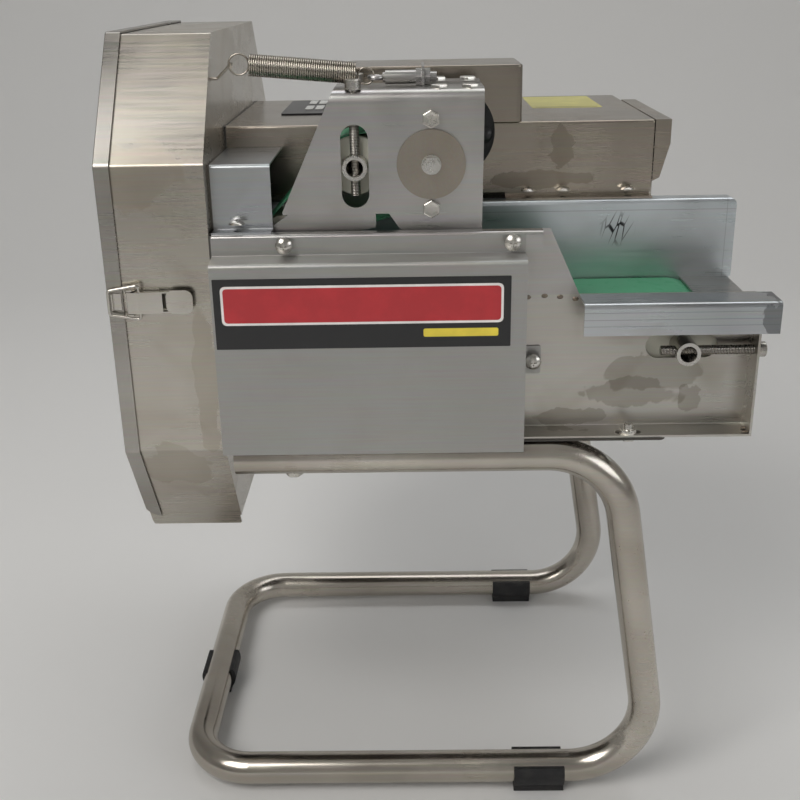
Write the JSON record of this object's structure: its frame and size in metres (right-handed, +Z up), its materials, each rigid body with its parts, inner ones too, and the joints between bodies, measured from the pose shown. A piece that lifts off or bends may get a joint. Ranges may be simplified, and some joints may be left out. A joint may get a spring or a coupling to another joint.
{
  "type": "vegetable cutting machine",
  "caption": "Belt-fed vegetable cutter with an eight-sided knife housing, a swinging press belt, a green feed belt and a bent tube stand.",
  "frame": {"origin": "centre of the footprint at floor level, under the foot clips", "axes": "+X along the feed belt, away from the knife housing; +Y away from the operator, towards the drive casing; +Z up"},
  "size_m": [0.553, 0.4406, 0.7061],
  "materials": {
    "axle_steel": "turned stainless",
    "bearing_body": "satin stainless",
    "belt_green": "mid green conveyor belting, satin",
    "blade": "ground blade steel",
    "bolt": "bright turned stainless fasteners",
    "carrier": "cast and machined",
    "chain_steel": "oiled steel",
    "clip_rubber": "matte black rubber",
    "dark_plate": "dark painted plate",
    "motor_grey": "grey enamel",
    "panel_black": "black membrane with pale keys",
    "port_black": "black plastic",
    "roller": "turned cream nylon",
    "sheet": "brushed stainless sheet, water stained",
    "sheet_light": "fine matt stainless sheet, light grey",
    "spring": "drawn spring wire",
    "stand": "satin stainless tube"
  },
  "bodies": {
    "root": {"stand_tube": "stand", "foot_clips": "clip_rubber", "base_plate": "dark_plate", "frame_bolts": "bolt", "frame_front_plate": "sheet", "guide_rail": "sheet", "channel_wall": "sheet", "frame_back_plate": "sheet", "end_table": "sheet", "belt_bed": "sheet", "feed_belt": "belt_green", "feed_bearings": "bearing_body", "body_casing": "sheet", "front_cover": "sheet_light", "bulkhead": "sheet", "knife_housing": "sheet", "hinge_fixed": "sheet", "latch_base": "sheet", "spring_hook": "spring", "mouth_hood": "sheet", "drive_box": "sheet", "raised_box": "sheet", "port_cover": "port_black", "control_panel": "panel_black", "cover_screws": "bolt", "knife_motor": "motor_grey", "feed_gearmotor": "motor_grey", "drive_chain": "chain_steel"},
    "lid": {"end_cover": "sheet", "hinge_moving": "sheet", "lid_catch": "sheet"},
    "lever": {"latch_lever": "sheet"},
    "bail": {"latch_bail": "spring"},
    "rotor": {"knife_shaft": "axle_steel", "knife_carrier": "carrier", "knife_blades": "blade", "hub_nut": "bolt"},
    "feed_drive": {"feed_drive_roller": "roller", "feed_drive_shaft": "axle_steel"},
    "feed_slider": {"feed_axle": "axle_steel"},
    "feed_idler": {"feed_tension_roller": "roller"},
    "feed_screw_a": {"feed_screw_front": "bolt"},
    "feed_screw_b": {"feed_screw_back": "bolt"},
    "press": {"press_frame": "sheet", "nose_arms": "sheet", "press_bearings": "bearing_body", "press_bolts": "bolt", "spring_bracket": "sheet", "eye_bolt": "bolt", "press_belt": "belt_green", "tension_spring": "spring"},
    "press_drive": {"press_drive_roller": "roller", "press_drive_shaft": "axle_steel"},
    "nose": {"nose_roller": "roller"},
    "press_slider": {"press_axle": "axle_steel"},
    "press_idler": {"press_tension_roller": "roller"},
    "press_screw_a": {"press_screw_front": "bolt"},
    "press_screw_b": {"press_screw_back": "bolt"},
    "gear_output": {"gear_wheel": "chain_steel"},
    "chain_idler": {"idler_wheel": "chain_steel"}
  },
  "joints": [
    {"name": "knife_spin", "type": "hinge", "parent": "root", "child": "rotor", "pos_m": [-0.1885, 0.0082, 0.483], "axis": [1, 0, 0], "continuous": true},
    {"name": "gear_spin", "type": "hinge", "parent": "root", "child": "gear_output", "pos_m": [0.0595, -0.0808, 0.415], "axis": [0, 1, 0], "continuous": true},
    {"name": "feed_drive_spin", "type": "hinge", "parent": "root", "child": "feed_drive", "pos_m": [-0.1465, -0.1443, 0.4465], "axis": [0, 1, 0], "continuous": true},
    {"name": "feed_tension", "type": "slide", "parent": "root", "child": "feed_slider", "axis": [1, 0, 0], "range_m": [-0.02, 0]},
    {"name": "feed_idler_spin", "type": "hinge", "parent": "feed_slider", "child": "feed_idler", "pos_m": [0.2055, -0.1443, 0.4465], "axis": [0, 1, 0], "continuous": true},
    {"name": "feed_screw_a_turn", "type": "hinge", "parent": "root", "child": "feed_screw_a", "pos_m": [0.264, -0.1978, 0.4465], "axis": [1, 0, 0], "range_deg": [-5760, 0]},
    {"name": "feed_screw_b_turn", "type": "hinge", "parent": "root", "child": "feed_screw_b", "pos_m": [0.264, -0.0908, 0.4465], "axis": [1, 0, 0], "range_deg": [-5760, 0]},
    {"name": "press_swing", "type": "hinge", "parent": "root", "child": "press", "pos_m": [-0.0065, -0.1428, 0.602], "axis": [0, 1, 0], "range_deg": [0, 15], "stiffness_Nm_per_rad": 2, "deforming": ["tension_spring"]},
    {"name": "press_drive_spin", "type": "hinge", "parent": "root", "child": "press_drive", "pos_m": [-0.0065, -0.1428, 0.602], "axis": [0, 1, 0], "continuous": true},
    {"name": "nose_spin", "type": "hinge", "parent": "press", "child": "nose", "pos_m": [-0.1315, -0.1428, 0.544], "axis": [0, 1, 0], "continuous": true},
    {"name": "press_tension", "type": "slide", "parent": "press", "child": "press_slider", "axis": [0, 0, 1], "range_m": [-0.012, 0]},
    {"name": "press_idler_spin", "type": "hinge", "parent": "press_slider", "child": "press_idler", "pos_m": [-0.0685, -0.1428, 0.6], "axis": [0, 1, 0], "continuous": true},
    {"name": "press_screw_a_turn", "type": "hinge", "parent": "press", "child": "press_screw_a", "pos_m": [-0.0685, -0.1708, 0.661], "axis": [0, 0, 1], "range_deg": [-3456, 0]},
    {"name": "press_screw_b_turn", "type": "hinge", "parent": "press", "child": "press_screw_b", "pos_m": [-0.0685, -0.1148, 0.661], "axis": [0, 0, 1], "range_deg": [-3456, 0]},
    {"name": "chain_idler_spin", "type": "hinge", "parent": "root", "child": "chain_idler", "pos_m": [0.0515, -0.0808, 0.648], "axis": [0, 1, 0], "continuous": true},
    {"name": "lid_hinge", "type": "hinge", "parent": "root", "child": "lid", "pos_m": [-0.2605, 0.2173, 0.483], "axis": [0, 0, -1], "range_deg": [0, 150]},
    {"name": "latch_turn", "type": "hinge", "parent": "root", "child": "lever", "pos_m": [-0.2565, -0.2013, 0.496], "axis": [0, 0, -1], "range_deg": [0, 120]},
    {"name": "bail_turn", "type": "hinge", "parent": "lever", "child": "bail", "pos_m": [-0.2485, -0.2028, 0.496], "axis": [0, 0, -1], "range_deg": [-120, 0]}
  ],
  "couplings": [
    {"joint": "feed_drive_spin", "follows": "gear_spin", "ratio": 0.85714},
    {"joint": "feed_idler_spin", "follows": "gear_spin", "ratio": 0.85714},
    {"joint": "press_drive_spin", "follows": "gear_spin", "ratio": -1},
    {"joint": "nose_spin", "follows": "gear_spin", "ratio": -2},
    {"joint": "press_idler_spin", "follows": "gear_spin", "ratio": -1.25},
    {"joint": "chain_idler_spin", "follows": "gear_spin", "ratio": 1.5},
    {"joint": "feed_screw_a_turn", "follows": "feed_tension", "rad_per_m": 5026.5},
    {"joint": "feed_screw_b_turn", "follows": "feed_tension", "rad_per_m": 5026.5},
    {"joint": "press_screw_a_turn", "follows": "press_tension", "rad_per_m": 5026.5},
    {"joint": "press_screw_b_turn", "follows": "press_tension", "rad_per_m": 5026.5},
    {"joint": "bail_turn", "follows": "latch_turn", "ratio": -1}
  ]
}
